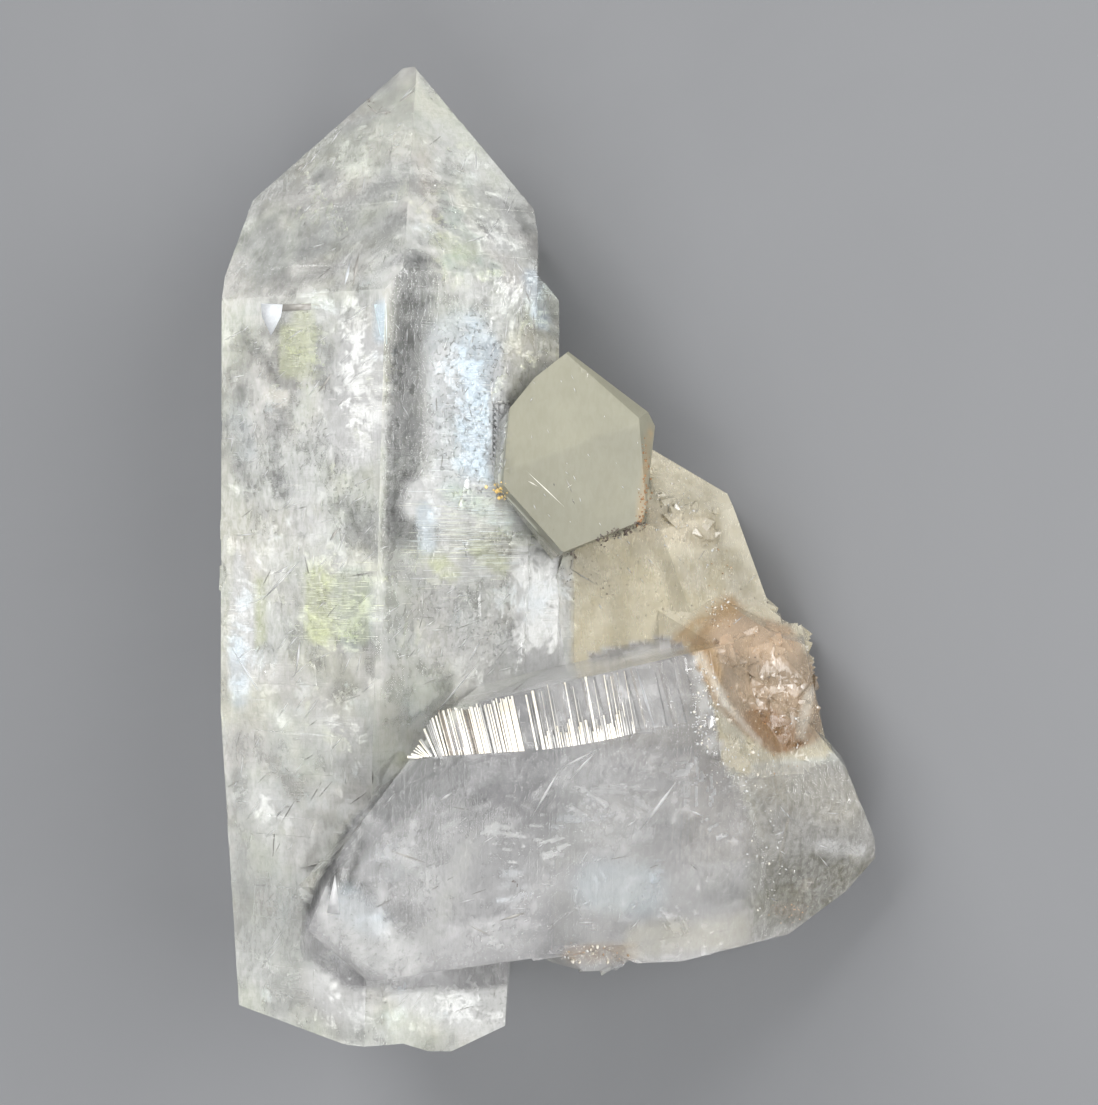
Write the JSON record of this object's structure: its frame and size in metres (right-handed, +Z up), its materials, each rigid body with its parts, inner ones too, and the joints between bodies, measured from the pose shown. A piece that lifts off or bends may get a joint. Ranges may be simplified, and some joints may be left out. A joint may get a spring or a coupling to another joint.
{
  "type": "quartz crystal cluster",
  "caption": "Clear quartz cluster: a tall six-sided point with a second point across its foot, milky side crystals and an iron-stained, sugary patch.",
  "frame": {"origin": "centre of the footprint, on the surface that the cluster rests on", "axes": "+Y along the tall point towards its tip, +Z up, +X towards the milky side crystals"},
  "size_m": [0.066, 0.0972, 0.0433],
  "materials": {
    "quartz": "clear to milky natural quartz, glossy growth faces with satin and frosted patches, brown iron stain on the right"
  },
  "bodies": {
    "root": {"quartz_cluster": "quartz"}
  },
  "joints": []
}
